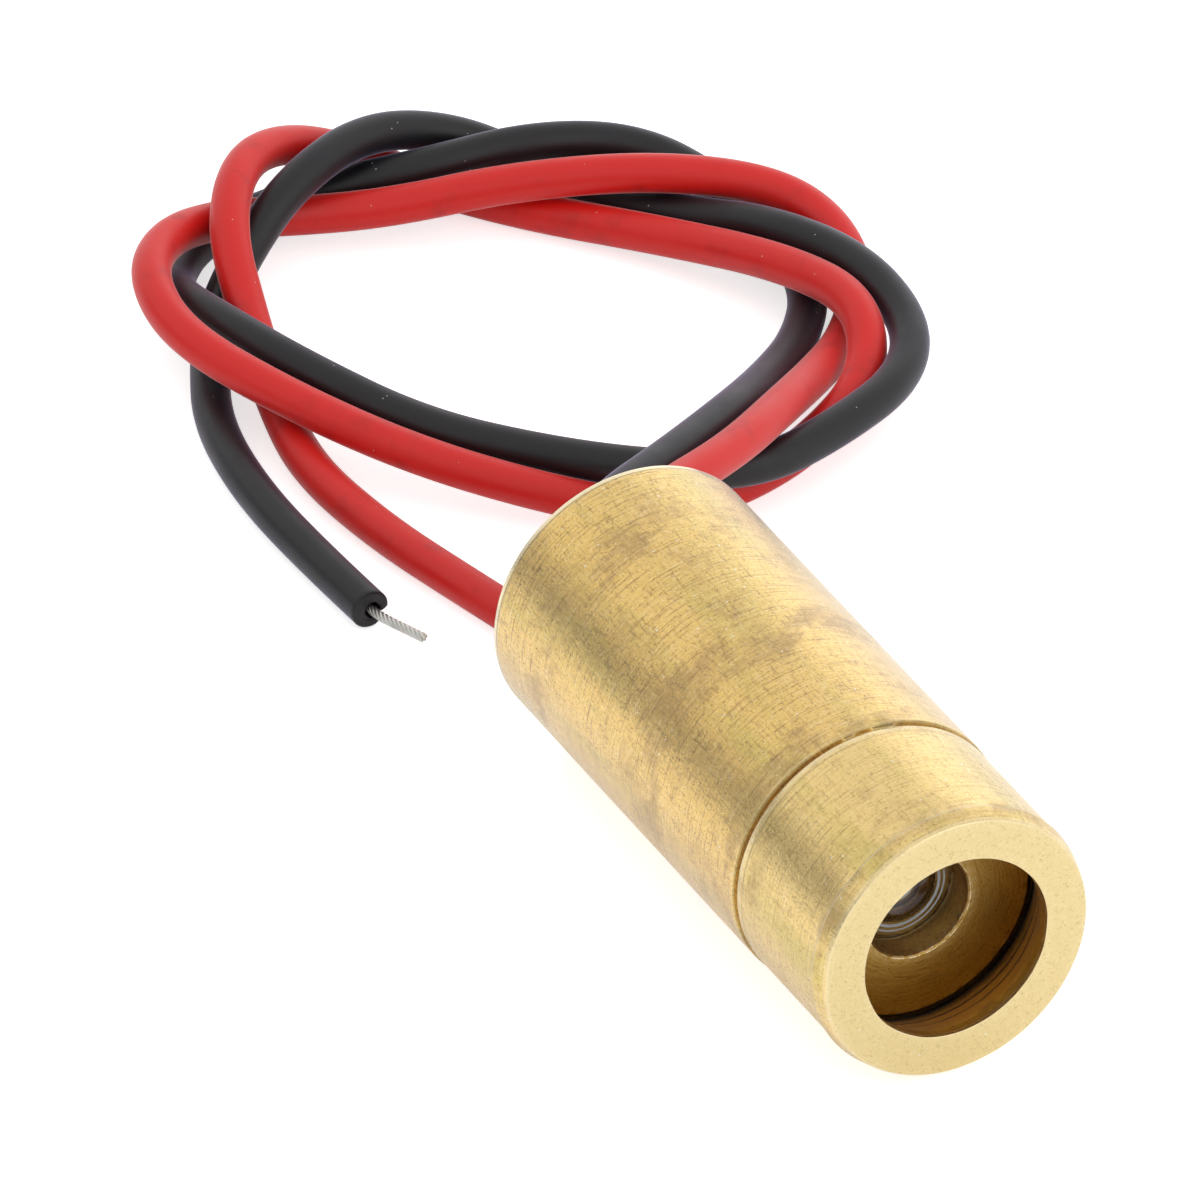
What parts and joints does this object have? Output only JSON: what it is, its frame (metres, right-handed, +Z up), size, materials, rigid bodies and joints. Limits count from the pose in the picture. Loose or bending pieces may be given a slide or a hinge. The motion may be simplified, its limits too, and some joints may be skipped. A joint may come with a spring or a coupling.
{
  "type": "laser diode module",
  "caption": "Short round brass laser module with a recessed collimating lens in front and a red and a black lead in loose loops behind.",
  "frame": {"origin": "on the surface the module lies on, under the middle of the body", "axes": "+Y along the body from its front to its rear, where the leads leave; +Z up"},
  "size_m": [0.0234, 0.0514, 0.009],
  "materials": {
    "housing_brass": "turned brass, tarnished, fine scratches along and round",
    "barrel_brass": "turned brass, worn lip, fine scratches round",
    "cell_brass": "turned brass, dull, with a burred edge round the aperture",
    "lens_glass": "clear lens with a blue-violet coating",
    "red_insulation": "soft red insulation, satin",
    "black_insulation": "soft black insulation, satin",
    "black_strands": "twisted tinned strands",
    "red_strands": "twisted tinned strands",
    "ring_brass": "turned brass, darkened",
    "spring_steel": "drawn square spring wire",
    "holder_brass": "turned brass",
    "base_steel": "gold-plated steel",
    "cap_steel": "drawn nickel-plated steel",
    "window_glass": "clear glass",
    "block_copper": "copper, gold-plated",
    "chip_die": "polished dark die",
    "sensor_die": "polished dark die",
    "pin_gold": "gold-plated wire",
    "seal_glass": "dark sealing glass",
    "board_laminate": "glass-fibre laminate with green mask",
    "transistor_mould": "moulded black epoxy with tinned legs",
    "resistor_body": "glazed ceramic with tinned ends",
    "capacitor_body": "tan ceramic with tinned ends",
    "trimmer_body": "pale ceramic with a metal rotor",
    "solder": "bright solder",
    "potting_resin": "black cast resin",
    "red_root": "soft red insulation",
    "black_root": "soft black insulation",
    "core_strands": "tinned strands"
  },
  "bodies": {
    "root": {"rear_housing": "housing_brass", "front_barrel": "barrel_brass", "lens_cell": "cell_brass", "collimating_lens": "lens_glass", "red_wire": "red_insulation", "black_wire": "black_insulation", "black_wire_tip": "black_strands", "red_wire_tip": "red_strands", "lens_retaining_ring": "ring_brass", "focus_spring": "spring_steel", "diode_holder": "holder_brass", "diode_base": "base_steel", "diode_cap": "cap_steel", "diode_window": "window_glass", "diode_mount_block": "block_copper", "laser_chip": "chip_die", "monitor_photodiode": "sensor_die", "diode_pins": "pin_gold", "pin_seals": "seal_glass", "driver_board": "board_laminate", "driver_transistors": "transistor_mould", "driver_resistors": "resistor_body", "filter_capacitor": "capacitor_body", "power_trimmer": "trimmer_body", "solder_joints": "solder", "rear_potting": "potting_resin", "red_wire_root": "red_root", "black_wire_root": "black_root", "lead_cores": "core_strands"}
  },
  "joints": []
}
